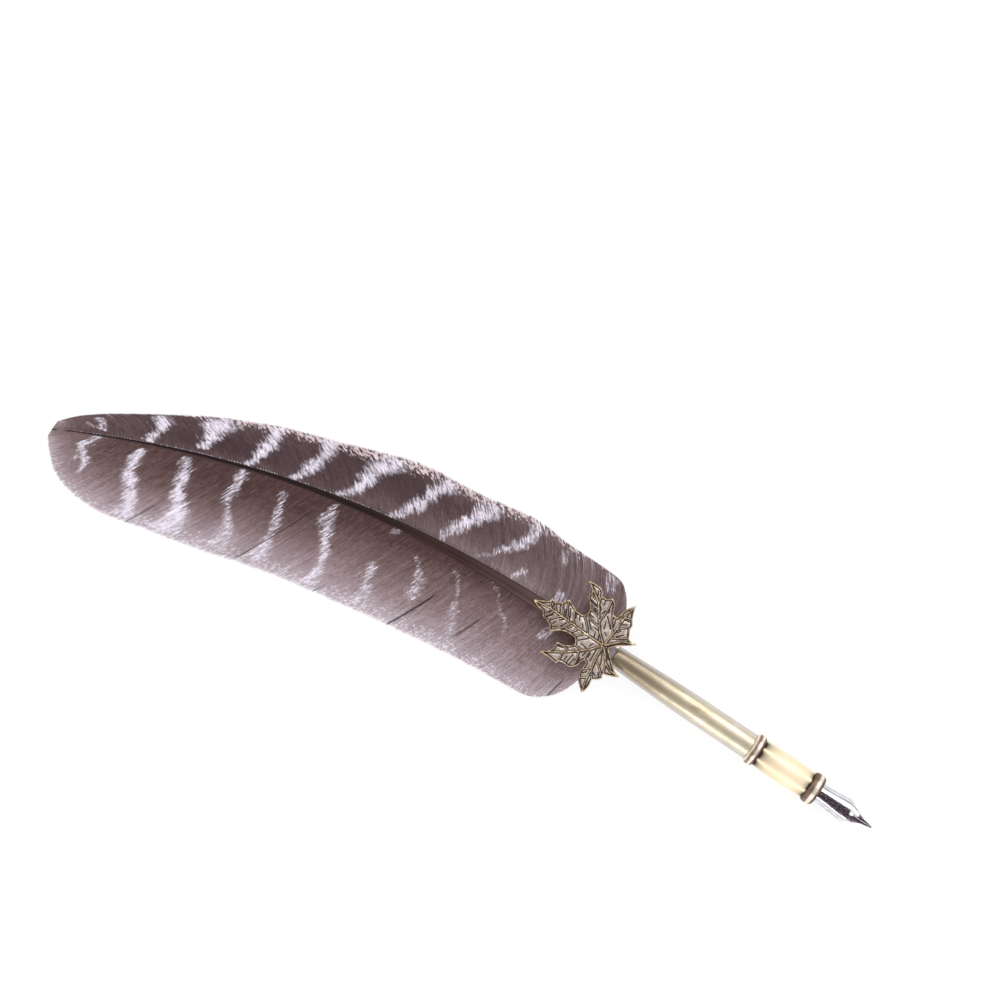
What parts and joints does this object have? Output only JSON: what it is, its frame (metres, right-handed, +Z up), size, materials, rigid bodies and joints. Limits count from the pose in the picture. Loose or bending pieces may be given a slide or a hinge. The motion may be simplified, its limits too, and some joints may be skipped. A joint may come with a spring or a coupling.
{
  "type": "quill pen",
  "caption": "Feather quill dip pen with a tapered brass barrel, cast maple-leaf charm, screw-off grip section between bead rings and a pull-out pointed steel nib.",
  "frame": {"origin": "middle of the pen's bounding box, on the desk surface that its bead rings rest on", "axes": "+X along the barrel's axis towards the nib, +Z up from the desk, feather curving towards -Y"},
  "size_m": [0.2716, 0.0726, 0.0099],
  "materials": {
    "barrel_brass": "satin antique brass with dark patina",
    "grip_brass": "polished pale brass, patina at both ends",
    "ring_brass": "antique brass, worn bright on the crest",
    "plain_brass": "turned, bare",
    "leaf_metal": "cast, raised edges polished, recesses darkened",
    "nib_steel": "polished pressed steel",
    "spring_steel": "bare spring steel",
    "feather_vane": "barred brown feather barbs",
    "feather_shaft": "dark horn-like shaft",
    "adhesive": "set glue"
  },
  "bodies": {
    "pen": {"barrel": "barrel_brass", "thread_bush": "plain_brass", "quill_shaft": "feather_shaft", "quill_adhesive": "adhesive", "leading_vane": "feather_vane", "trailing_vane": "feather_vane", "maple_leaf": "leaf_metal", "leaf_adhesive": "adhesive"},
    "ring": {"barrel_ring": "ring_brass"},
    "section": {"grip_sleeve": "grip_brass", "nib_ring": "ring_brass", "spindle": "plain_brass", "nib_ferrule": "plain_brass", "nib_clip": "spring_steel"},
    "nib_body": {"nib": "nib_steel"}
  },
  "joints": [
    {"name": "ring_slide", "type": "slide", "parent": "pen", "child": "ring", "axis": [1, 0, 0], "range_m": [0, 0.005]},
    {"name": "section_turn", "type": "hinge", "parent": "ring", "child": "section", "pos_m": [0.09521, 0.01491, 0.00495], "axis": [1, 0, 0], "range_deg": [0, 1800]},
    {"name": "nib_slide", "type": "slide", "parent": "section", "child": "nib_body", "axis": [1, 0, 0], "range_m": [0, 0.019]}
  ],
  "couplings": [
    {"joint": "ring_slide", "follows": "section_turn", "m_per_rad": 0.00015915}
  ]
}
